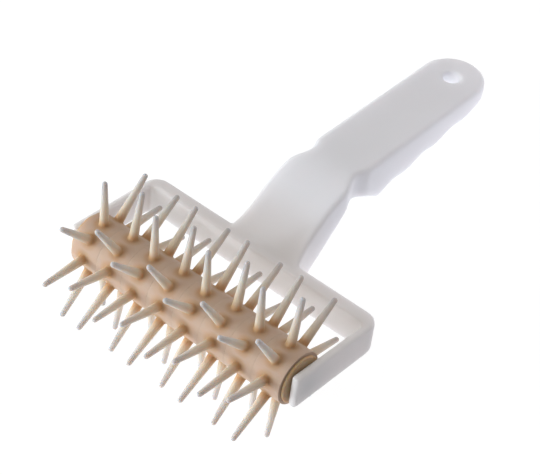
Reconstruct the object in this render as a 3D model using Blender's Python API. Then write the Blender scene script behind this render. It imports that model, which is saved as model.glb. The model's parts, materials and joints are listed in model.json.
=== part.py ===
# Biscuit hole punch: a spiked roller that turns in a U-shaped fork with a finger-grooved handle.
# Lengths are in metres and +Z is up. The tool lies as on a table, on two rows of spikes and the
# end of its handle. Each piece is modelled in the fork's own frame, where X runs along the axle,
# Y from the axle toward the handle and Z square to the fork. Empties then tilt that frame into
# the resting pose and hold the roller on its axle.

import math

import bmesh
import bpy
from mathutils import Matrix, Vector

# Clearances
TOUCH_GAP = 0.0003          # between pieces that touch on the real tool
JOURNAL_CLEARANCE = 0.0003  # journal to socket and to washer, on the radius
SHAFT_CLEARANCE = 0.0003    # square shaft to ring bore, on each face
SIDE_FLOAT = 0.00045        # washer to arm
END_FLOAT = 0.0005          # journal end to the bottom of its socket
SPIKE_CLEARANCE = 0.0026    # spike tips to the back bar

# Spiked rings
RING_COUNT = 8
SPIKES_PER_RING = 8
RING_PITCH = 0.01365
HUB_RADIUS = 0.0114
HUB_CHAMFER = 0.00025
SPIKE_REACH = 0.0332        # axle to spike tip
SPIKE_ROOT_RADIUS = 0.0020
SPIKE_TIP_RADIUS = 0.0011
ROOT_FILLET = 0.0006        # flare where a spike grows out of the hub
SPIKE_BURIAL = 0.0015       # how far a spike's base lies inside the hub before they are joined
SPIKE_OFFSET = math.radians(6.03)  # first spike from the bore's flat; a turned ring mirrors it

# Shaft and washers
SHAFT_WIDTH = 0.0090        # across the flats
SHAFT_CHAMFER = 0.0006
JOURNAL_RADIUS = 0.0034
WASHER_RADIUS = 0.0102
WASHER_THICKNESS = 0.0011

# Fork
BAND_HEIGHT = 0.0141        # of both arms and of the back bar
ARM_THICKNESS = 0.0037
BAR_THICKNESS = 0.0069
ARM_NOSE = 0.0073           # arm end, ahead of the axle
NOSE_DROP = 0.0008          # how much deeper the arms are at their ends than the bar is
OUTER_CORNER_RADIUS = 0.0068
INNER_CORNER_RADIUS = 0.0022
NOSE_CORNER_RADIUS = 0.0010
BAND_EDGE_RADIUS = 0.0008
SOCKET_DEPTH = 0.0024

# Neck, measured back from the bar's outer face and up from the axle
ROOT_SHARE = 0.8            # how deep in the bar the neck begins, as a share of the bar
TOE_LEAD = 0.0005           # where the rise steepens, ahead of the bar's outer face
TOE_RISE = math.radians(20)
TOE_RADIUS = 0.0080
ROOT_HALF_WIDTH = 0.0191
FLARE_LENGTH = 0.0060
FLARE_HALF_WIDTH = 0.0159
FLARE_RADIUS = 0.0250
NECK_HALF_WIDTH = 0.0156
NECK_RISE = math.radians(39.8)
SHOULDER_SETBACK = 0.0249   # where the lines of neck top and grip top meet
SHOULDER_HEIGHT = 0.0291
SHOULDER_RADIUS = 0.0478
UNDER_START = 0.0080        # where the underside leaves the level of the bar
UNDER_START_RADIUS = 0.0040

# Grip
GRIP_HALF_WIDTH = 0.0144
GRIP_RISE = math.radians(3.75)
GRIP_END_SETBACK = 0.1162   # centre of the round end
GRIP_TOP_EDGE_RADIUS = 0.0017
GRIP_UNDER_EDGE_RADIUS = 0.0014
COVE_START_SETBACK = 0.0294
COVE_START_RADIUS = 0.0050
COVE_SETBACK = 0.0382
COVE_HALF_WIDTH = 0.0115    # where the cove's two sides would meet
COVE_RADIUS = 0.0070
COVE_END_SETBACK = 0.0443
COVE_END_RADIUS = 0.0022

# Underside of the grip
CREST_SETBACK = 0.0317      # top of the notch behind the neck
CREST_HEIGHT = 0.0178
CREST_RADIUS = 0.0070
NOTCH_END_SETBACK = 0.0450  # where the notch drops to the finger guard
NOTCH_END_HEIGHT = 0.0154
NOTCH_END_RADIUS = 0.0050
GUARD_SETBACK = 0.0526      # the finger guard
GUARD_HEIGHT = 0.0112
GUARD_RADIUS = 0.0034
TAPER_RISE = math.radians(12.15)
FINGER_PITCH = 0.0191
FINGER_DEPTH = 0.0016

# Hanging hole, at the centre of the grip's round end
HOLE_RADIUS = 0.0037

# Fineness of the meshes
HUB_SEGMENTS = 40
SPIKE_SEGMENTS = 10
TIP_STEPS = 2
JOURNAL_SEGMENTS = 24
HOLE_SEGMENTS = 24
EDGE_STEPS = 3
ARC_STEPS = 6
END_STEPS = 12
STATION_STEP = 0.0021
WELD_DISTANCE = 0.000001
OVERRUN = 0.002             # how far a cutter runs past what it cuts
SHARP_ANGLE = math.radians(35)

# Derived sizes of the roller
SPIKE_PITCH = math.tau / SPIKES_PER_RING
RING_LENGTH = RING_PITCH - TOUCH_GAP
STACK_HALF_LENGTH = (RING_COUNT * RING_PITCH - TOUCH_GAP) / 2
WASHER_START = STACK_HALF_LENGTH + TOUCH_GAP
ARM_INNER = WASHER_START + WASHER_THICKNESS + SIDE_FLOAT
ARM_OUTER = ARM_INNER + ARM_THICKNESS
JOURNAL_END = ARM_INNER + SOCKET_DEPTH - END_FLOAT

# Derived places on the fork
BAR_FRONT = SPIKE_REACH + SPIKE_CLEARANCE
BAR_BACK = BAR_FRONT + BAR_THICKNESS
ROOT = BAR_BACK - BAR_THICKNESS * ROOT_SHARE
GRIP_END = BAR_BACK + GRIP_END_SETBACK
BAND_TOP = BAND_HEIGHT / 2


def clear_scene():
    for obj in list(bpy.data.objects):
        bpy.data.objects.remove(obj)


def plastic(name, colour, roughness):
    material = bpy.data.materials.new(name)
    material.use_nodes = True
    shader = material.node_tree.nodes["Principled BSDF"]
    shader.inputs["Base Color"].default_value = (*colour, 1)
    shader.inputs["Roughness"].default_value = roughness
    shader.inputs["Metallic"].default_value = 0
    return material


def empty(name, parent=None):
    obj = bpy.data.objects.new(name, None)
    obj.parent = parent
    bpy.context.scene.collection.objects.link(obj)
    return obj


def solid(name, bm):
    """Object made from a bmesh, welded and with its faces pointing out."""
    bmesh.ops.remove_doubles(bm, verts=bm.verts, dist=WELD_DISTANCE)
    bmesh.ops.recalc_face_normals(bm, faces=bm.faces)
    mesh = bpy.data.meshes.new(name)
    bm.to_mesh(mesh)
    bm.free()
    obj = bpy.data.objects.new(name, mesh)
    bpy.context.scene.collection.objects.link(obj)
    return obj


def combine(obj, other, operation):
    """Joins another solid into this one, or cuts it away, and removes the other."""
    modifier = obj.modifiers.new("combine", 'BOOLEAN')
    modifier.operation = operation
    modifier.solver = 'EXACT'
    modifier.object = other
    depsgraph = bpy.context.evaluated_depsgraph_get()
    result = bpy.data.meshes.new_from_object(obj.evaluated_get(depsgraph))
    obj.modifiers.clear()
    obj.data = result
    bpy.data.objects.remove(other)


def finish_piece(obj, material, parent):
    obj.data.materials.clear()
    obj.data.materials.append(material)
    obj.data.shade_smooth()
    obj.data.set_sharp_from_angle(angle=SHARP_ANGLE)
    obj.parent = parent


def turned(profile, segments):
    """Bmesh turned about X from (x, radius) points; a solid's profile starts and ends on the axis."""
    bm = bmesh.new()
    verts = [bm.verts.new((x, 0, radius)) for x, radius in profile]
    edges = [bm.edges.new(pair) for pair in zip(verts, verts[1:])]
    bmesh.ops.spin(bm, geom=verts + edges, cent=(0, 0, 0), axis=(1, 0, 0), angle=math.tau,
                   steps=segments, use_merge=True)
    return bm


def disc_profile(start, end, radius):
    return [(start, 0), (start, radius), (end, radius), (end, 0)]


def fillet_path(corners):
    """Straight runs through (along, across, radius) corners, with an arc at each inner corner."""
    path = [corners[0][:2]]
    for before, corner, after in zip(corners, corners[1:], corners[2:]):
        here = Vector(corner[:2])
        back = (Vector(before[:2]) - here).normalized()
        ahead = (Vector(after[:2]) - here).normalized()
        half_angle = back.angle(ahead) / 2
        centre = here + (back + ahead).normalized() * corner[2] / math.sin(half_angle)
        reach = corner[2] / math.tan(half_angle)
        first = here + back * reach - centre
        turn = first.angle_signed(here + ahead * reach - centre)
        for step in range(ARC_STEPS + 1):
            spoke = first.copy()
            spoke.rotate(Matrix.Rotation(-turn * step / ARC_STEPS, 2))
            path.append(tuple(centre + spoke))
    path.append(corners[-1][:2])
    return path


def height_on(path, along):
    """Value of a path of (along, across) points at one place along it."""
    for (a, low), (b, high) in zip(path, path[1:]):
        if along <= b:
            return low + (high - low) * (along - a) / (b - a)
    return path[-1][1]


def inset(outline, distance):
    """The closed outline moved inward, square to its sides."""
    moved = []
    for i, point in enumerate(outline):
        normals = []
        for start, end in ((outline[i - 1], point), (point, outline[(i + 1) % len(outline)])):
            run = (end - start).normalized()
            normals.append(Vector((run.y, -run.x)))
        mitre = (normals[0] + normals[1]) / (1 + normals[0].dot(normals[1]))
        moved.append(point - mitre * distance)
    return moved


def rounded_slab(outline, under, top, under_radius, top_radius):
    """Bmesh between the surfaces under(y) and top(y), inside an anticlockwise plan outline.

    The upper and lower edges are rounded. It returns the bmesh and the lowest and highest loops.
    """
    levels = []
    for step in range(EDGE_STEPS + 1):
        angle = math.pi / 2 * step / EDGE_STEPS
        levels.append((under_radius * (1 - math.sin(angle)), under, under_radius * (1 - math.cos(angle))))
    for step in range(EDGE_STEPS + 1):
        angle = math.pi / 2 * step / EDGE_STEPS
        levels.append((top_radius * (1 - math.cos(angle)), top, -top_radius * (1 - math.sin(angle))))
    bm = bmesh.new()
    loops = []
    for distance, surface, lift in levels:
        points = inset(outline, distance)
        loops.append([bm.verts.new((p.x, p.y, surface(p.y) + lift)) for p in points])
    for low, high in zip(loops, loops[1:]):
        for i in range(len(low)):
            bm.faces.new((low[i - 1], low[i], high[i], high[i - 1]))
    return bm, loops[0], loops[-1]


def spike_ring_mesh():
    """Hub with its eight spikes and square bore, the axle along X and a bore flat facing Y."""
    half = RING_LENGTH / 2
    hub = solid("spike_ring", turned([
        (-half, 0), (-half, HUB_RADIUS - HUB_CHAMFER), (-half + HUB_CHAMFER, HUB_RADIUS),
        (half - HUB_CHAMFER, HUB_RADIUS), (half, HUB_RADIUS - HUB_CHAMFER), (half, 0)], HUB_SEGMENTS))
    profile = [(HUB_RADIUS - SPIKE_BURIAL, 0),
               (HUB_RADIUS - SPIKE_BURIAL, SPIKE_ROOT_RADIUS + ROOT_FILLET),
               (HUB_RADIUS - ROOT_FILLET, SPIKE_ROOT_RADIUS + ROOT_FILLET),
               (HUB_RADIUS + ROOT_FILLET, SPIKE_ROOT_RADIUS)]
    for step in range(TIP_STEPS + 1):
        angle = math.pi / 2 * step / TIP_STEPS
        profile.append((SPIKE_REACH - SPIKE_TIP_RADIUS * (1 - math.sin(angle)),
                        SPIKE_TIP_RADIUS * math.cos(angle)))
    spikes = bmesh.new()
    for spike in range(SPIKES_PER_RING):
        one = turned(profile, SPIKE_SEGMENTS)
        bmesh.ops.rotate(one, verts=one.verts, matrix=Matrix.Rotation(math.pi / 2, 3, 'Z'))
        angle = SPIKE_OFFSET + spike * SPIKE_PITCH
        bmesh.ops.rotate(one, verts=one.verts, matrix=Matrix.Rotation(angle, 3, 'X'))
        mesh = bpy.data.meshes.new("spike")
        one.to_mesh(mesh)
        one.free()
        spikes.from_mesh(mesh)
        bpy.data.meshes.remove(mesh)
    combine(hub, solid("spikes", spikes), 'UNION')
    bore = square_bar(SHAFT_WIDTH + 2 * SHAFT_CLEARANCE, RING_LENGTH + OVERRUN, 0)
    combine(hub, solid("bore", bore), 'DIFFERENCE')
    mesh = hub.data
    bpy.data.objects.remove(hub)
    return mesh


def square_bar(width, length, chamfer):
    """Square bar along X, centred on the axle, with its long edges chamfered."""
    bm = bmesh.new()
    bmesh.ops.create_cube(bm, size=1)
    bmesh.ops.scale(bm, verts=bm.verts, vec=(length, width, width))
    if chamfer:
        long_edges = [e for e in bm.edges if abs(e.verts[0].co.x - e.verts[1].co.x) > length / 2]
        bmesh.ops.bevel(bm, geom=long_edges, offset=chamfer, segments=1, affect='EDGES')
    return bm


def axle_shaft():
    """Square shaft as long as the stack of rings, with a round journal at each end."""
    shaft = solid("axle_shaft", square_bar(SHAFT_WIDTH, 2 * STACK_HALF_LENGTH, SHAFT_CHAMFER))
    journals = turned([
        (-JOURNAL_END, 0), (-JOURNAL_END, JOURNAL_RADIUS), (JOURNAL_END, JOURNAL_RADIUS),
        (JOURNAL_END, 0)], JOURNAL_SEGMENTS)
    combine(shaft, solid("journals", journals), 'UNION')
    return shaft


def end_washer(name, side):
    """Thin disc on the journal, between the last ring and the arm."""
    ends = sorted((side * WASHER_START, side * (WASHER_START + WASHER_THICKNESS)))
    washer = solid(name, turned(disc_profile(*ends, WASHER_RADIUS), HUB_SEGMENTS))
    bore_ends = (ends[0] - OVERRUN, ends[1] + OVERRUN)
    bore = turned(disc_profile(*bore_ends, JOURNAL_RADIUS + JOURNAL_CLEARANCE), JOURNAL_SEGMENTS)
    combine(washer, solid("bore", bore), 'DIFFERENCE')
    return washer


def fork_band():
    """The two arms and the back bar, as one U-shaped band with rounded corners and edges."""
    corners = [
        (ARM_OUTER, -ARM_NOSE, NOSE_CORNER_RADIUS), (ARM_OUTER, BAR_BACK, OUTER_CORNER_RADIUS),
        (-ARM_OUTER, BAR_BACK, OUTER_CORNER_RADIUS), (-ARM_OUTER, -ARM_NOSE, NOSE_CORNER_RADIUS),
        (-ARM_INNER, -ARM_NOSE, NOSE_CORNER_RADIUS), (-ARM_INNER, BAR_FRONT, INNER_CORNER_RADIUS),
        (ARM_INNER, BAR_FRONT, INNER_CORNER_RADIUS), (ARM_INNER, -ARM_NOSE, NOSE_CORNER_RADIUS)]
    looped = [corners[-1], *corners, corners[0]]
    outline = [Vector(point) for point in fillet_path(looped)[1:-1]]
    slope = NOSE_DROP / (BAR_BACK + ARM_NOSE)
    bm, lowest, highest = rounded_slab(
        outline, lambda y: -BAND_TOP - (BAR_BACK - y) * slope, lambda y: BAND_TOP,
        BAND_EDGE_RADIUS, BAND_EDGE_RADIUS)
    bm.faces.new(reversed(lowest))
    bm.faces.new(highest)
    return solid("handle_frame", bm)


def top_line():
    """Side view of the upper face: the neck's rise, the shoulder and the grip."""
    shoulder = BAR_BACK + SHOULDER_SETBACK
    tip = GRIP_END + GRIP_HALF_WIDTH
    toe = BAR_BACK - TOE_LEAD
    toe_height = SHOULDER_HEIGHT - (shoulder - toe) * math.tan(NECK_RISE)
    return fillet_path([
        (ROOT, toe_height - (toe - ROOT) * math.tan(TOE_RISE), 0),
        (toe, toe_height, TOE_RADIUS),
        (shoulder, SHOULDER_HEIGHT, SHOULDER_RADIUS),
        (tip, SHOULDER_HEIGHT + (tip - shoulder) * math.tan(GRIP_RISE), 0)])


def under_line():
    """Side view of the underside, before the finger grooves are cut into it."""
    level = BAND_EDGE_RADIUS - BAND_TOP
    guard = BAR_BACK + GUARD_SETBACK
    tip = GRIP_END + GRIP_HALF_WIDTH
    return fillet_path([
        (ROOT, level, 0),
        (BAR_BACK + UNDER_START, level, UNDER_START_RADIUS),
        (BAR_BACK + CREST_SETBACK, CREST_HEIGHT, CREST_RADIUS),
        (BAR_BACK + NOTCH_END_SETBACK, NOTCH_END_HEIGHT, NOTCH_END_RADIUS),
        (guard, GUARD_HEIGHT, GUARD_RADIUS),
        (tip, GUARD_HEIGHT + (tip - guard) * math.tan(TAPER_RISE), 0)])


def side_line():
    """Plan view of one side: the neck's flared root, the thumb cove and the grip."""
    return fillet_path([
        (ROOT, ROOT_HALF_WIDTH, 0),
        (BAR_BACK + FLARE_LENGTH, FLARE_HALF_WIDTH, FLARE_RADIUS),
        (BAR_BACK + COVE_START_SETBACK, NECK_HALF_WIDTH, COVE_START_RADIUS),
        (BAR_BACK + COVE_SETBACK, COVE_HALF_WIDTH, COVE_RADIUS),
        (BAR_BACK + COVE_END_SETBACK, GRIP_HALF_WIDTH, COVE_END_RADIUS),
        (GRIP_END, GRIP_HALF_WIDTH, 0)])


def finger_groove(y):
    """How far the underside is hollowed at y, in even waves that start at the guard."""
    past_guard = y - BAR_BACK - GUARD_SETBACK
    if past_guard < 0:
        return 0
    return FINGER_DEPTH / 2 * (1 - math.cos(math.tau * past_guard / FINGER_PITCH))


def neck_and_grip():
    """The handle behind the bar, its plan outline carried between its two side-view lines."""
    top = top_line()
    under = under_line()
    side = side_line()
    first = ROOT + 2 * GRIP_TOP_EDGE_RADIUS
    count = round((GRIP_END - first) / STATION_STEP)
    even = [first + (GRIP_END - first) * i / count for i in range(count + 1)]
    own = [y for y, _ in side[1:-1]]
    even = [y for y in even if all(abs(y - k) > STATION_STEP / 3 for k in own)]
    stations = sorted([ROOT] + own + even)
    right = [Vector((height_on(side, y), y)) for y in stations]
    for step in range(1, END_STEPS + 1):
        angle = math.pi / 2 * step / END_STEPS
        right.append(Vector((math.cos(angle), math.sin(angle))) * GRIP_HALF_WIDTH + Vector((0, GRIP_END)))
    left = [Vector((-p.x, p.y)) for p in reversed(right[:-1])]
    bm, lowest, highest = rounded_slab(
        right + left, lambda y: height_on(under, y) + finger_groove(y), lambda y: height_on(top, y),
        GRIP_UNDER_EDGE_RADIUS, GRIP_TOP_EDGE_RADIUS)
    last = len(lowest) - 1
    for i in range(len(right) - 1):
        rung = (i, i + 1, last - i - 1, last - i)
        if rung[1] == rung[2]:
            rung = (i, i + 1, last - i)
        bm.faces.new([lowest[k] for k in rung])
        bm.faces.new([highest[k] for k in rung])
    return solid("neck_and_grip", bm)


def handle_frame():
    """The whole white moulding: fork, neck, grip, hanging hole and the two axle sockets."""
    frame = fork_band()
    combine(frame, neck_and_grip(), 'UNION')
    hole = turned(disc_profile(-GRIP_END, GRIP_END, HOLE_RADIUS), HOLE_SEGMENTS)
    bmesh.ops.rotate(hole, verts=hole.verts, matrix=Matrix.Rotation(math.pi / 2, 3, 'Y'))
    bmesh.ops.translate(hole, verts=hole.verts, vec=(0, GRIP_END, 0))
    combine(frame, solid("hole", hole), 'DIFFERENCE')
    reach = ARM_INNER + SOCKET_DEPTH
    sockets = turned(disc_profile(-reach, reach, JOURNAL_RADIUS + JOURNAL_CLEARANCE), JOURNAL_SEGMENTS)
    combine(frame, solid("sockets", sockets), 'DIFFERENCE')
    return frame


def axle_height(ring_mesh):
    """Height of the axle when the gap between two rows of spikes points straight down."""
    turn = Matrix.Rotation(-math.pi / 2 - SPIKE_PITCH / 2, 3, 'X')
    return -min((turn @ vert.co).z for vert in ring_mesh.vertices)


def resting_tilt(frame_mesh, height):
    """Angle through which the handle drops before it touches the ground."""
    tilts = []
    for vert in frame_mesh.vertices:
        reach = math.hypot(vert.co.y, vert.co.z)
        if reach > height:
            tilts.append(math.atan2(vert.co.z, vert.co.y) + math.asin(height / reach))
    return min(tilts)


def build():
    clear_scene()
    white = plastic("white_frame_plastic", (0.80, 0.79, 0.80), 0.42)
    ivory = plastic("ivory_roller_plastic", (0.72, 0.64, 0.52), 0.40)
    rest_pose = empty("rest_pose")
    roller_axis = empty("roller_axis", rest_pose)

    frame = handle_frame()
    finish_piece(frame, white, rest_pose)

    ring_mesh = spike_ring_mesh()
    for i in range(RING_COUNT):
        ring = bpy.data.objects.new("spike_ring_%d" % (i + 1), ring_mesh)
        bpy.context.scene.collection.objects.link(ring)
        ring.location.x = (i - (RING_COUNT - 1) / 2) * RING_PITCH
        if i % 2:
            ring.rotation_euler.y = math.pi
        finish_piece(ring, ivory, roller_axis)
    finish_piece(axle_shaft(), ivory, roller_axis)
    finish_piece(end_washer("end_washer_left", -1), ivory, roller_axis)
    finish_piece(end_washer("end_washer_right", 1), ivory, roller_axis)

    height = axle_height(ring_mesh)
    tilt = resting_tilt(frame.data, height)
    rest_pose.rotation_euler.x = -tilt
    roller_axis.rotation_euler.x = tilt - math.pi / 2 - SPIKE_PITCH / 2
    bpy.context.view_layer.update()
    reach = [(obj.matrix_world @ vert.co).y for obj in bpy.context.scene.objects
             if obj.type == 'MESH' for vert in obj.data.vertices]
    rest_pose.location = (0, -(min(reach) + max(reach)) / 2, height)
    print("tilt %.2f degrees, axle at y %.4f m, z %.4f m"
          % (math.degrees(tilt), rest_pose.location.y, height))


build()
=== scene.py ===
# Biscuit hole punch, dressed: a white fork handle and an ivory roller of eight spiked rings.
# Lengths are in metres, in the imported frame. X runs along the axle, Y toward the handle's end.
# Colours are linear.

import json
import math

import bmesh
import bpy
from mathutils import Matrix, Quaternion, Vector


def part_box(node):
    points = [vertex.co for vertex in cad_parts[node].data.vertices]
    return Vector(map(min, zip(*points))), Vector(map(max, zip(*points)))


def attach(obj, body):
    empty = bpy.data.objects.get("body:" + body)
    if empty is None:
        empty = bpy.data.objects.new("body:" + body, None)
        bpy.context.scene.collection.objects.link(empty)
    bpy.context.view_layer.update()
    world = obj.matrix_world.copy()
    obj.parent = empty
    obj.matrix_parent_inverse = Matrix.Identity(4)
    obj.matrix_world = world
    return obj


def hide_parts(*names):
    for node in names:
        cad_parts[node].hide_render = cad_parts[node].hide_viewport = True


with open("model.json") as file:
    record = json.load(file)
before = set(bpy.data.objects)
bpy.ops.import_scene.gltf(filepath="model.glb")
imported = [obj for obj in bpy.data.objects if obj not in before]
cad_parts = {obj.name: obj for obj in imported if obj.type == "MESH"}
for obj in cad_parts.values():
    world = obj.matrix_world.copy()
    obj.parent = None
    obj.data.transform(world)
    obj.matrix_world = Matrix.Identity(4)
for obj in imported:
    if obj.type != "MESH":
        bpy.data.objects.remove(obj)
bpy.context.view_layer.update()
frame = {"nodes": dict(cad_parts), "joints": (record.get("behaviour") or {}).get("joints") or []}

# The roller's axle, from the frame
AXLE = Vector(frame["joints"][0]["pos_m"])

# Spiked rings
RING_COUNT = 8
SPIKES_PER_RING = 8
SPIKE_PITCH = math.tau / SPIKES_PER_RING
HUB_RADIUS = 0.0114
SPIKE_REACH = 0.0332                            # from the axle to a spike's tip
SPIKE_ROOT_RADIUS = 0.0020
SPIKE_TIP_RADIUS = 0.0011
ROOT_FILLET = 0.0007
SPIKE_OFFSET = math.radians(6.03)               # rings lead and trail by this in turn
RESTING_TURN = -math.pi / 2 - SPIKE_PITCH / 2   # a gap between rows of spikes points straight down
BORE_HALF_WIDTH = 0.0048
SEAM = 0.00003                                  # shown between neighbouring rings
RING_EDGE_RADIUS = 0.00007
WELD_DISTANCE = 0.000005

# Washers
WASHER_EDGE_RADIUS = 0.00025
JOURNAL_BORE_RADIUS = 0.0037

# Fineness of the rings and washers
SIDE_STEPS = 12                                 # along one sector's straight side
END_STEPS = 8                                   # along one sector's curved end
HUB_STEPS = 6                                   # from a sector's edge to its spike
FILLET_STEPS = 4
SHANK_STEPS = 10
TIP_STEPS = 4
EDGE_STEPS = 3
WASHER_SEGMENTS = 96

# Handle skin
SKIN_VOXEL = 0.0005
SKIN_SMOOTHING = 24

# Faces that meet at more than this keep a crisp edge
SHARP_ANGLE = math.radians(40)

# Plastic: scales of its flow marks, waves and grain, and how much they show
FLOW_SCALE = 60.0
WAVE_SCALE = 180.0
GRAIN_SCALE = 1400.0
FINE_DETAIL = 2.0
WAVE_SHARE = 0.6
GRAIN_SHARE = 0.4
BUMP_STRENGTH = 0.12
BUMP_DISTANCE = 0.0003
ROUGHNESS_BELOW = 0.05                          # how far flow marks go below a plastic's roughness
ROUGHNESS_ABOVE = 0.07                          # and above it
PLASTIC_IOR = 1.49
NOISE_LOW = 0.3                                 # most of a noise lies between these two
NOISE_HIGH = 0.7

# Share of the light that scatters inside the plastic. None crosses the gap between two rings, so
# the share fades out this near to it.
TRANSLUCENCY = 0.8
GAP_FADE = 0.0015

# White plastic. Near the roller it is painted warmer and darker, as painted shade with warm light
# bounced off the ivory, and this clears over a length behind the bar.
WHITE_DEPTH = 0.006                             # how far light scatters inside
CLOUD_SCALE = 25.0
CLOUD_DARK = (0.81, 0.805, 0.82)
CLOUD_PALE = (0.835, 0.83, 0.845)
FORK_PAINTED_SHADE = (0.79, 0.755, 0.735, 1)
FORK_REAR = -0.035
FADE_LENGTH = 0.030

# The bar's inner face is painted paler than the rest of the fork, as painted light for what the
# roller scatters onto it.
# It is found by its place along Y, and by how far it faces -Y, toward the roller.
BAR_FRONT = -0.048
BAR_REAR = -0.034
FACE_FADE = 0.003
FACING_START = -0.4
FACING_END = -0.8
INNER_FACE_PAINTED_LIGHT = (0.91, 0.90, 0.885, 1)

# The hanging hole's wall is painted paler and bluer than the rest of the grip, a painted glow for
# light coming up through the hole
HOLE_CENTRE = Vector((0, 0.08876, 0.0067))
HOLE_GLOW_INNER = 0.0040
HOLE_GLOW_OUTER = 0.0062
HOLE_PAINTED_GLOW = (0.95, 0.96, 1.0, 1)

# Ivory plastic: stops of the share of the way from hub to tip, and the colour there. The deeper
# orange stop at the spikes' roots is painted crevice shade.
IVORY_TONE_AND_ROOT_SHADE_STOPS = [
    (0.0, (0.545, 0.392, 0.29)), (0.05, (0.57, 0.39, 0.23)), (0.2, (0.62, 0.55, 0.43)),
    (0.6, (0.56, 0.56, 0.53)), (1.0, (0.36, 0.395, 0.435))]
MOTTLE_SCALE = 90.0
MOTTLE_SHARE = 0.2
MOTTLE_TINT = (0.58, 0.44, 0.34, 1)
HUB_DEPTH = 0.0045
TIP_DEPTH = 0.007

# Painted shade: the ivory is painted deeper orange round each spike's root, where shade gathers in
# the crevice
ROOT_SHADE_WIDTH = 0.0028
ROOT_SHADE_HEIGHT = 0.0030
ROOT_SHADE_SHARE = 0.75
ROOT_SHADE_TINT = (0.46, 0.25, 0.09, 1)

# The washers and the shaft are painted browner, as painted shade for their faces in the dark gaps
# beside the arms
WASHER_DEPTH = 0.003
WASHER_DARK = (0.50, 0.34, 0.19)
WASHER_PALE = (0.54, 0.38, 0.23)

# Light table: white paper mixed with a glow. The glow that a viewer sees is white and even, and the
# glow that it casts on the tool is bluer and stronger.
TABLE_HALF_SIZE = 4.0
PAPER_COLOUR = (0.88, 0.88, 0.89, 1)
WHITE = (1, 1, 1, 1)
SEEN_GLOW = 1.09
SEEN_GLOW_SHARE = 0.85
CAST_COLOUR = (0.93, 0.94, 1, 1)
CAST_GLOW = 1.75
CAST_GLOW_SHARE = 0.75

# The cast glow fades out to both sides, and most beside the handle's left
TABLE_RIGHT_START = 0.035
TABLE_RIGHT_END = 0.11
TABLE_RIGHT_SHARE = 0.28
TABLE_LEFT_START = -0.01
TABLE_LEFT_END = -0.08
TABLE_LEFT_SHARE = 0.35                         # beside the roller
TABLE_REAR_START = -0.045
TABLE_REAR_END = 0.0
TABLE_REAR_LEFT_SHARE = 0.02                    # beside the handle

# The room: brighter overhead, with soft dark sides. These are rows of azimuth, elevation, share of
# the light left, and half angles of core and edge. Angles here and below are in degrees, and
# azimuth 0 is the roller's front.
SKY_COLOUR = (1.0, 0.985, 0.965, 1)
HORIZON_LIGHT = 0.66
ZENITH_LIGHT = 1.54
DARK_SIDES = [(80, 32, 0.12, 35, 80), (-115, 5, 0.30, 35, 75)]

# Lamps: name, azimuth, elevation, distance, size, power, colour
LAMPS = [
    ("front_left_box", -31, 18, 1.2, (0.7, 0.6), 8.2, (0.84, 0.91, 1.0)),
    ("left_lamp", -64, 14, 1.2, (0.08, 0.08), 4.8, (0.86, 0.92, 1.0)),
    ("handle_box", 135, 18, 0.35, (0.15, 0.1), 0.12, (0.80, 0.80, 1.0))]

# Camera
AIM = Vector((-0.0030, -0.0237, 0.0201))
CAMERA_DISTANCE = 0.7747
CAMERA_AZIMUTH = 50.65
CAMERA_ELEVATION = 54.0
CAMERA_ROLL = -11.75
LENS_MM = 128.7
SENSOR_MM = 36

# Sockets of Blender's Mix node: first input, second input, output
NUMBER_SOCKETS = (2, 3, 0)
COLOUR_SOCKETS = (6, 7, 2)


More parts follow.
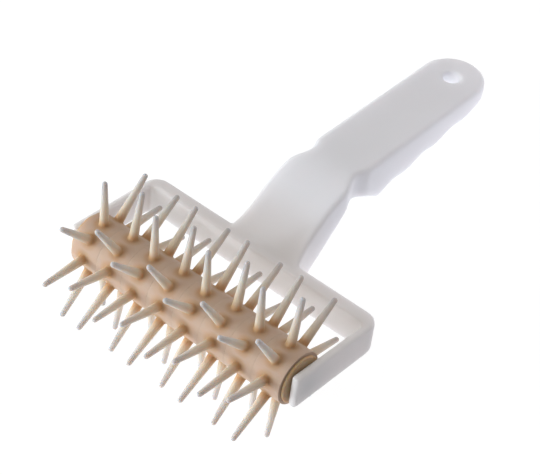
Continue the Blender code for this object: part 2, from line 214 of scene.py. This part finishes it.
class Nodes:
    """Shorthand for building one node tree."""

    def __init__(self, tree):
        self.tree = tree
        self.tree.nodes.clear()

    def add(self, kind, settings=None, **inputs):
        """Adds a node. A socket's value is set, or linked where it is another node's socket."""
        node = self.tree.nodes.new(kind)
        for name, value in (settings or {}).items():
            setattr(node, name, value)
        for name, value in inputs.items():
            self.feed(node.inputs[name.replace("_", " ")], value)
        return node

    def feed(self, socket, value):
        if isinstance(value, bpy.types.NodeSocket):
            self.tree.links.new(value, socket)
        else:
            socket.default_value = value

    def maths(self, operation, a, b):
        node = self.add('ShaderNodeMath', {"operation": operation})
        self.feed(node.inputs[0], a)
        self.feed(node.inputs[1], b)
        return node.outputs[0]

    def vectors(self, operation, a, b):
        """Number from two vectors."""
        node = self.add('ShaderNodeVectorMath', {"operation": operation})
        self.feed(node.inputs[0], a)
        self.feed(node.inputs[1], b)
        return node.outputs["Value"]

    def axis(self, vector, name):
        return self.add('ShaderNodeSeparateXYZ', Vector=vector).outputs[name]

    def attribute(self, name):
        return self.add('ShaderNodeAttribute', {"attribute_name": name}).outputs["Fac"]

    def mix(self, kind, sockets, share, a, b):
        first, second, result = sockets
        node = self.add('ShaderNodeMix', {"data_type": kind})
        self.feed(node.inputs["Factor"], share)
        self.feed(node.inputs[first], a)
        self.feed(node.inputs[second], b)
        return node.outputs[result]

    def blend(self, share, a, b):
        """Mix of two colours."""
        return self.mix('RGBA', COLOUR_SOCKETS, share, a, b)

    def between(self, share, a, b):
        """Mix of two numbers."""
        return self.mix('FLOAT', NUMBER_SOCKETS, share, a, b)

    def mix_shaders(self, share, a, b):
        node = self.add('ShaderNodeMixShader', Fac=share)
        self.feed(node.inputs[1], a.outputs[0])
        self.feed(node.inputs[2], b.outputs[0])
        return node.outputs[0]

    def ramp(self, value, stops):
        """Colour ramp through (position, linear colour) stops."""
        node = self.add('ShaderNodeValToRGB', Fac=value)
        bar = node.color_ramp.elements
        while len(bar) < len(stops):
            bar.new(1.0)
        for element, (position, colour) in zip(bar, stops):
            element.position = position
            element.color = (*colour, 1)
        return node.outputs["Color"]

    def noise(self, where, scale, detail=3.0, roughness=0.55):
        node = self.add('ShaderNodeTexNoise',
                        Vector=where, Scale=scale, Detail=detail, Roughness=roughness)
        return node.outputs["Fac"]

    def fade(self, value, start, end, low=0.0, high=1.0, shape='LINEAR'):
        """Carries start to end onto low to high, and holds still past both."""
        node = self.add('ShaderNodeMapRange', {"interpolation_type": shape}, Value=value,
                        From_Min=start, From_Max=end, To_Min=low, To_Max=high)
        return node.outputs["Result"]

    def spread(self, value, low, high):
        """Carries a 0 to 1 value onto low to high."""
        return self.fade(value, 0.0, 1.0, low, high)


def moulded_plastic(name, colour_of, depth_of, roughness, gloss, scatter):
    """Translucent moulded plastic. colour_of(nodes, place) and depth_of(nodes) give its inputs."""
    material = bpy.data.materials.new(name)
    material.use_nodes = True
    nodes = Nodes(material.node_tree)
    place = nodes.add('ShaderNodeTexCoord').outputs["Object"]
    flow = nodes.noise(place, FLOW_SCALE)
    grain = nodes.noise(place, GRAIN_SCALE, FINE_DETAIL)
    waves = nodes.noise(place, WAVE_SCALE, FINE_DETAIL)
    relief = nodes.maths('ADD', nodes.maths('MULTIPLY', waves, WAVE_SHARE),
                         nodes.maths('MULTIPLY', grain, GRAIN_SHARE))
    bump = nodes.add('ShaderNodeBump',
                     Strength=BUMP_STRENGTH, Distance=BUMP_DISTANCE, Height=relief)
    shader = nodes.add(
        'ShaderNodeBsdfPrincipled', {"subsurface_method": 'RANDOM_WALK'},
        Base_Color=colour_of(nodes, place),
        Roughness=nodes.spread(flow, roughness - ROUGHNESS_BELOW, roughness + ROUGHNESS_ABOVE),
        Normal=bump.outputs["Normal"],
        Subsurface_Radius=scatter,
        Subsurface_Scale=depth_of(nodes),
        Subsurface_Weight=nodes.spread(nodes.attribute("gap"), TRANSLUCENCY, 0.0),
        IOR=PLASTIC_IOR,
        Specular_IOR_Level=gloss)
    nodes.add('ShaderNodeOutputMaterial', Surface=shader.outputs["BSDF"])
    return material


def on_inner_face(nodes, along):
    """1 on the back bar's face toward the roller, where painted light goes, and 0 elsewhere."""
    facing = nodes.axis(nodes.add('ShaderNodeTexCoord').outputs["Normal"], "Y")
    forward = nodes.fade(facing, FACING_START, FACING_END)
    behind = nodes.fade(along, BAR_FRONT, BAR_FRONT + FACE_FADE)
    before = nodes.fade(along, BAR_REAR, BAR_REAR - FACE_FADE)
    return nodes.maths('MULTIPLY', forward, nodes.maths('MULTIPLY', behind, before))


def white_colour(nodes, place):
    """Cool white with faint, broad clouding, painted shade near the roller, painted light on the
    bar's inner face and a painted glow at the hanging hole.
    """
    along = nodes.axis(place, "Y")
    clouds = nodes.noise(place, CLOUD_SCALE)
    cool = nodes.ramp(clouds, [(NOISE_LOW, CLOUD_DARK), (NOISE_HIGH, CLOUD_PALE)])
    # Painted shade at the fork, and painted light on the bar's inner face
    fork = nodes.blend(on_inner_face(nodes, along), FORK_PAINTED_SHADE, INNER_FACE_PAINTED_LIGHT)
    body = nodes.blend(nodes.fade(along, FORK_REAR, FORK_REAR + FADE_LENGTH), fork, cool)
    # Painted glow round the hanging hole
    from_hole = nodes.vectors('DISTANCE', place, HOLE_CENTRE)
    near_hole = nodes.fade(from_hole, HOLE_GLOW_INNER, HOLE_GLOW_OUTER, 1.0, 0.0)
    return nodes.blend(near_hole, body, HOLE_PAINTED_GLOW)


def ivory_colour_and_root_shade(nodes, place):
    """Tan at the thick hub, and paler and greyer out along the spikes, with painted shade: deeper
    orange at and round each spike's root.
    """
    tint = nodes.ramp(nodes.attribute("reach"), IVORY_TONE_AND_ROOT_SHADE_STOPS)
    mottle = nodes.noise(place, MOTTLE_SCALE)
    clouded = nodes.blend(nodes.spread(mottle, 0.0, MOTTLE_SHARE), tint, MOTTLE_TINT)
    # Painted crevice shade round each spike's root
    root_shade = nodes.spread(nodes.attribute("painted_root_shade"), 0.0, ROOT_SHADE_SHARE)
    return nodes.blend(root_shade, clouded, ROOT_SHADE_TINT)


# Painted shade: the washers' brown stands in for shade in the gaps beside the arms
def washer_painted_shade_colour(nodes, place):
    mottle = nodes.noise(place, MOTTLE_SCALE)
    return nodes.ramp(mottle, [(NOISE_LOW, WASHER_DARK), (NOISE_HIGH, WASHER_PALE)])


def white_depth(nodes):
    return WHITE_DEPTH


def ivory_depth(nodes):
    """Light travels further in the clearer spikes than in the thick hub."""
    return nodes.spread(nodes.attribute("reach"), HUB_DEPTH, TIP_DEPTH)


def washer_depth(nodes):
    return WASHER_DEPTH


def roller_piece(replaced, bm, material):
    """Shows a bmesh as the piece of the roller that replaces a CAD node."""
    name = replaced + "_moulded"
    bmesh.ops.recalc_face_normals(bm, faces=bm.faces)
    mesh = bpy.data.meshes.new(name)
    bm.to_mesh(mesh)
    bm.free()
    dress(name, mesh, material, "roller", replaced)


def dress(name, mesh, material, body, replaced):
    """Shows a mesh, smooth and in its material, as the piece that replaces a CAD node."""
    mesh.materials.clear()
    mesh.materials.append(material)
    mesh.shade_smooth()
    mesh.set_sharp_from_angle(angle=SHARP_ANGLE)
    piece = bpy.data.objects.new(name, mesh)
    bpy.context.scene.collection.objects.link(piece)
    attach(piece, body)
    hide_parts(replaced)


def sector_border(half_length, half_arc):
    """Points round a sector's edge on the unrolled hub, anticlockwise from the +X, -arc corner."""
    border = []
    for i in range(END_STEPS):
        border.append((half_length, half_arc * (2 * i / END_STEPS - 1)))
    for i in range(SIDE_STEPS):
        border.append((half_length * (1 - 2 * i / SIDE_STEPS), half_arc))
    for i in range(END_STEPS):
        border.append((-half_length, half_arc * (1 - 2 * i / END_STEPS)))
    for i in range(SIDE_STEPS):
        border.append((half_length * (2 * i / SIDE_STEPS - 1), -half_arc))
    return border


def hub_loops(border, spokes):
    """Loops on the hub's surface, from a sector's edge in to the foot of its spike."""
    foot = SPIKE_ROOT_RADIUS + ROOT_FILLET
    loops = []
    for step in range(HUB_STEPS):
        share = step / HUB_STEPS
        loop = []
        for (x, arc), (across, along) in zip(border, spokes):
            here = x + (across * foot - x) * share
            angle = (arc + (along * foot - arc) * share) / HUB_RADIUS
            loop.append(Vector((here, HUB_RADIUS * math.sin(angle), HUB_RADIUS * math.cos(angle))))
        loops.append(loop)
    return loops


def fillet_loops(spokes):
    """Loops up the fillet, from the hub's curved surface to the spike's side."""
    foot = SPIKE_ROOT_RADIUS + ROOT_FILLET
    loops = []
    for step in range(FILLET_STEPS + 1):
        turn = math.pi / 2 * step / FILLET_STEPS
        radius = foot - ROOT_FILLET * math.sin(turn)
        lift = ROOT_FILLET * (1 - math.cos(turn))
        loop = []
        for x, y in spokes:
            surface = math.sqrt(HUB_RADIUS ** 2 - (y * radius) ** 2)
            loop.append(Vector((x * radius, y * radius, surface + lift)))
        loops.append(loop)
    return loops


def level_loop(spokes, radius, height):
    return [Vector((x * radius, y * radius, height)) for x, y in spokes]


def shank_loops(spokes):
    """Loops up the tapered shank and over the rounded tip."""
    shank_start = HUB_RADIUS + ROOT_FILLET
    shank_end = SPIKE_REACH - SPIKE_TIP_RADIUS
    loops = []
    for step in range(1, SHANK_STEPS + 1):
        share = step / SHANK_STEPS
        radius = SPIKE_ROOT_RADIUS + (SPIKE_TIP_RADIUS - SPIKE_ROOT_RADIUS) * share
        loops.append(level_loop(spokes, radius, shank_start + (shank_end - shank_start) * share))
    for step in range(1, TIP_STEPS):
        turn = math.pi / 2 * step / TIP_STEPS
        radius = SPIKE_TIP_RADIUS * math.cos(turn)
        loops.append(level_loop(spokes, radius, shank_end + SPIKE_TIP_RADIUS * math.sin(turn)))
    return loops


def sector_loops(half_length):
    """Loops of points from a sector's edge up its spike to the tip, with the spike along +Z."""
    border = sector_border(half_length, HUB_RADIUS * SPIKE_PITCH / 2)
    count = len(border)
    start = -math.pi * END_STEPS / count
    spokes = [(math.cos(start + math.tau * i / count), math.sin(start + math.tau * i / count))
              for i in range(count)]
    return hub_loops(border, spokes) + fillet_loops(spokes) + shank_loops(spokes)


def bridge(bm, low, high):
    """Faces between two closed loops."""
    for i in range(len(low)):
        bm.faces.new((low[i - 1], low[i], high[i], high[i - 1]))


def bore_loop(bm, x, angles, bore_turn):
    """Square loop of the bore, near a round loop's angles, with a point at each of its corners."""
    step_angle = math.tau / len(angles)
    snap = (angles[0] - bore_turn - math.pi / 4) % step_angle
    if snap > step_angle / 2:
        snap -= step_angle
    loop = []
    for angle in angles:
        snapped = angle - snap
        turn = snapped - bore_turn
        reach = BORE_HALF_WIDTH / max(abs(math.cos(turn)), abs(math.sin(turn)))
        loop.append(bm.verts.new((x, reach * math.sin(snapped), reach * math.cos(snapped))))
    return loop


def hub_end(bm, side, half_length, bore_turn):
    """Rounded edge and flat end of the hub, in to the square bore, whose loop it returns."""
    count = SPIKES_PER_RING * END_STEPS
    # the loop starts half a sector round, where two sectors meet
    angles = [(i + 0.5 * END_STEPS) * math.tau / count for i in range(count)]
    loops = []
    for step in range(EDGE_STEPS + 1):
        turn = math.pi / 2 * step / EDGE_STEPS
        radius = HUB_RADIUS - RING_EDGE_RADIUS * (1 - math.cos(turn))
        x = side * (half_length + RING_EDGE_RADIUS * math.sin(turn))
        loops.append([bm.verts.new((x, radius * math.sin(angle), radius * math.cos(angle)))
                      for angle in angles])
    loops.append(bore_loop(bm, side * (half_length + RING_EDGE_RADIUS), angles, bore_turn))
    for low, high in zip(loops, loops[1:]):
        bridge(bm, low, high)
    return loops[-1]


def painted_root_shade(point):
    """Share of painted crevice shade: 1 at a spike's root, and 0 past it on the hub or up the
    spike. A spike is along +Z.
    """
    angle = math.atan2(point.y, point.z)
    off_row = angle - SPIKE_PITCH * round(angle / SPIKE_PITCH)
    away = math.hypot(point.x, HUB_RADIUS * off_row) - SPIKE_ROOT_RADIUS
    lift = math.hypot(point.y, point.z) - HUB_RADIUS
    fade = max(away / ROOT_SHADE_WIDTH, 0.0) + abs(lift) / ROOT_SHADE_HEIGHT
    return max(0.0, 1.0 - fade)


def mark_plastic(bm, half_length):
    """Marks how far out along a spike each point is, how near to a root for the painted root shade,
    and how near to a ring's end.
    """
    reach = bm.verts.layers.float.new("reach")
    root_shade = bm.verts.layers.float.new("painted_root_shade")
    gap = bm.verts.layers.float.new("gap")
    for vert in bm.verts:
        radius = math.hypot(vert.co.y, vert.co.z)
        vert[reach] = max(0.0, (radius - HUB_RADIUS) / (SPIKE_REACH - HUB_RADIUS))
        vert[root_shade] = painted_root_shade(vert.co)
        vert[gap] = max(0.0, 1.0 - (half_length + RING_EDGE_RADIUS - abs(vert.co.x)) / GAP_FADE)


def spike_ring(index, material):
    """Hub sectors with their spikes, turned about the axle, and the two bored ends."""
    name = "spike_ring_%d" % (index + 1)
    low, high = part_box(name)
    middle = (low[0] + high[0]) / 2
    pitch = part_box("spike_ring_2")[0][0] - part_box("spike_ring_1")[0][0]
    half_length = (pitch - SEAM) / 2 - RING_EDGE_RADIUS
    offset = SPIKE_OFFSET if index % 2 == 0 else -SPIKE_OFFSET
    bm = bmesh.new()
    loops = sector_loops(half_length)
    for spike in range(SPIKES_PER_RING):
        turn = Matrix.Rotation(spike * SPIKE_PITCH, 3, 'X')
        rows = [[bm.verts.new(turn @ point) for point in loop] for loop in loops]
        for inner, outer in zip(rows, rows[1:]):
            bridge(bm, inner, outer)
        tip = bm.verts.new(turn @ Vector((0, 0, SPIKE_REACH)))
        for i in range(len(rows[-1])):
            bm.faces.new((rows[-1][i - 1], rows[-1][i], tip))
    bore_ends = [hub_end(bm, side, half_length, offset) for side in (-1, 1)]
    bridge(bm, *bore_ends)
    mark_plastic(bm, half_length)
    bmesh.ops.remove_doubles(bm, verts=bm.verts, dist=WELD_DISTANCE)
    # a spike modelled along +Z points along +Y once it is turned by -90 degrees about X
    spin = Matrix.Rotation(offset + RESTING_TURN - math.pi / 2, 4, 'X')
    bm.transform(Matrix.Translation((middle, AXLE.y, AXLE.z)) @ spin)
    roller_piece(name, bm, material)


def turned(profile, segments):
    """Bmesh turned about X from a closed loop of (x, radius) points."""
    bm = bmesh.new()
    rows = []
    for i in range(segments):
        angle = math.tau * i / segments
        rows.append([bm.verts.new((x, radius * math.sin(angle), radius * math.cos(angle)))
                     for x, radius in profile])
    for i in range(segments):
        bridge(bm, rows[i - 1], rows[i])
    return bm


def end_washer(name, material):
    """Thin disc with rounded rims and a round bore."""
    low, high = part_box(name)
    radius = (high[1] - low[1]) / 2
    profile = [(low[0], JOURNAL_BORE_RADIUS)]
    for x, side in ((low[0], 1), (high[0], -1)):
        corner = []
        for step in range(EDGE_STEPS + 1):
            turn = math.pi / 2 * step / EDGE_STEPS
            corner.append((x + side * WASHER_EDGE_RADIUS * (1 - math.cos(turn)),
                           radius - WASHER_EDGE_RADIUS * (1 - math.sin(turn))))
        profile += corner if side == 1 else reversed(corner)
    profile.append((high[0], JOURNAL_BORE_RADIUS))
    bm = turned(profile, WASHER_SEGMENTS)
    bm.transform(Matrix.Translation((0, AXLE.y, AXLE.z)))
    roller_piece(name, bm, material)


def handle_skin(material):
    """The handle as one moulding: the CAD solid remeshed finely, its edges and corners softened."""
    source = frame["nodes"]["handle_frame"]
    work = bpy.data.objects.new("handle_skin_work", source.data.copy())
    bpy.context.scene.collection.objects.link(work)
    remesh = work.modifiers.new("remesh", 'REMESH')
    remesh.mode = 'VOXEL'
    remesh.voxel_size = SKIN_VOXEL
    smooth = work.modifiers.new("smooth", 'SMOOTH')
    smooth.iterations = SKIN_SMOOTHING
    depsgraph = bpy.context.evaluated_depsgraph_get()
    mesh = bpy.data.meshes.new_from_object(work.evaluated_get(depsgraph))
    bpy.data.objects.remove(work)
    mesh.name = "handle_moulding"
    dress("handle_moulding", mesh, material, "handle", "handle_frame")


def shows_to_viewer(nodes):
    """1 for rays that a viewer sees straight on, in gloss or through clear material."""
    path = nodes.add('ShaderNodeLightPath')
    seen = nodes.maths('MAXIMUM', path.outputs["Is Camera Ray"], path.outputs["Is Glossy Ray"])
    return nodes.maths('MAXIMUM', seen, path.outputs["Is Transmission Ray"])


def cast_glow(nodes):
    """Strength of the glow that lights the tool."""
    place = nodes.add('ShaderNodeTexCoord').outputs["Object"]
    across = nodes.axis(place, "X")
    left_share = nodes.fade(nodes.axis(place, "Y"), TABLE_REAR_START, TABLE_REAR_END,
                            TABLE_LEFT_SHARE, TABLE_REAR_LEFT_SHARE)
    right = nodes.fade(across, TABLE_RIGHT_START, TABLE_RIGHT_END,
                       CAST_GLOW, CAST_GLOW * TABLE_RIGHT_SHARE)
    left = nodes.fade(across, TABLE_LEFT_START, TABLE_LEFT_END, 1.0, left_share)
    return nodes.maths('MULTIPLY', right, left)


def table_material():
    """Mix of white paper and a glow, which keeps the background white and lights the tool."""
    material = bpy.data.materials.new("white_floor")
    material.use_nodes = True
    nodes = Nodes(material.node_tree)
    seen = shows_to_viewer(nodes)
    paper = nodes.add('ShaderNodeBsdfDiffuse', Color=PAPER_COLOUR)
    glow = nodes.add('ShaderNodeEmission', Color=nodes.blend(seen, CAST_COLOUR, WHITE),
                     Strength=nodes.between(seen, cast_glow(nodes), SEEN_GLOW))
    share = nodes.spread(seen, CAST_GLOW_SHARE, SEEN_GLOW_SHARE)
    nodes.add('ShaderNodeOutputMaterial', Surface=nodes.mix_shaders(share, paper, glow))
    return material


def floor():
    """The light table that the tool lies on."""
    bm = bmesh.new()
    bmesh.ops.create_grid(bm, x_segments=1, y_segments=1, size=TABLE_HALF_SIZE)
    mesh = bpy.data.meshes.new("floor")
    bm.to_mesh(mesh)
    bm.free()
    mesh.materials.append(table_material())
    table = bpy.data.objects.new("floor", mesh)
    bpy.context.scene.collection.objects.link(table)


def direction(azimuth, elevation):
    """Unit vector from the tool toward an azimuth and elevation, with the front at azimuth 0."""
    azimuth = math.radians(azimuth)
    elevation = math.radians(elevation)
    level = math.cos(elevation)
    return Vector((math.sin(azimuth) * level, -math.cos(azimuth) * level, math.sin(elevation)))


def sky():
    """The room's light, with a white backdrop for the viewer."""
    world = bpy.data.worlds.new("studio")
    world.use_nodes = True
    bpy.context.scene.world = world
    nodes = Nodes(world.node_tree)
    toward = nodes.add('ShaderNodeTexCoord').outputs["Generated"]
    strength = nodes.spread(nodes.axis(toward, "Z"), HORIZON_LIGHT, ZENITH_LIGHT)
    for azimuth, elevation, share, core, edge in DARK_SIDES:
        nearness = nodes.vectors('DOT_PRODUCT', toward, direction(azimuth, elevation))
        shade = nodes.fade(nearness, math.cos(math.radians(edge)), math.cos(math.radians(core)),
                           1.0, share, 'SMOOTHSTEP')
        strength = nodes.maths('MULTIPLY', strength, shade)
    light = nodes.add('ShaderNodeBackground', Color=SKY_COLOUR, Strength=strength)
    backdrop = nodes.add('ShaderNodeBackground', Color=WHITE, Strength=1.0)
    mixed = nodes.mix_shaders(shows_to_viewer(nodes), light, backdrop)
    nodes.add('ShaderNodeOutputWorld', Surface=mixed)


def lamp(name, azimuth, elevation, distance, size, power, colour):
    """Soft box aimed at the tool."""
    data = bpy.data.lights.new(name, 'AREA')
    data.shape = 'RECTANGLE'
    data.size, data.size_y = size
    data.energy = power
    data.color = colour
    box = bpy.data.objects.new(name, data)
    box.location = AIM + direction(azimuth, elevation) * distance
    box.rotation_mode = 'QUATERNION'
    box.rotation_quaternion = (AIM - box.location).to_track_quat('-Z', 'Y')
    bpy.context.scene.collection.objects.link(box)


def camera():
    """The photograph's view."""
    data = bpy.data.cameras.new("camera")
    data.lens = LENS_MM
    data.sensor_width = SENSOR_MM
    view = bpy.data.objects.new("camera", data)
    view.location = AIM + direction(CAMERA_AZIMUTH, CAMERA_ELEVATION) * CAMERA_DISTANCE
    view.rotation_mode = 'QUATERNION'
    aim = (AIM - view.location).to_track_quat('-Z', 'Y')
    view.rotation_quaternion = aim @ Quaternion((0, 0, 1), math.radians(CAMERA_ROLL))
    bpy.context.scene.collection.objects.link(view)
    bpy.context.scene.camera = view


camera()

white = moulded_plastic("white_moulded_plastic", white_colour, white_depth,
                        roughness=0.42, gloss=0.15, scatter=(1.0, 0.95, 0.95))
ivory = moulded_plastic("ivory_moulded_plastic", ivory_colour_and_root_shade, ivory_depth,
                        roughness=0.48, gloss=0.15, scatter=(1.0, 0.7, 0.5))
painted_shade_washer_ivory = moulded_plastic("ivory_washer_plastic", washer_painted_shade_colour, washer_depth,
                              roughness=0.48, gloss=0.25, scatter=(1.0, 0.45, 0.2))

handle_skin(white)
for index in range(RING_COUNT):
    spike_ring(index, ivory)
for name in ("end_washer_left", "end_washer_right"):
    end_washer(name, painted_shade_washer_ivory)
shaft = frame["nodes"]["axle_shaft"]
shaft.data.materials.clear()
shaft.data.materials.append(painted_shade_washer_ivory)

floor()
sky()
for row in LAMPS:
    lamp(*row)

bpy.context.scene.view_settings.view_transform = 'Standard'
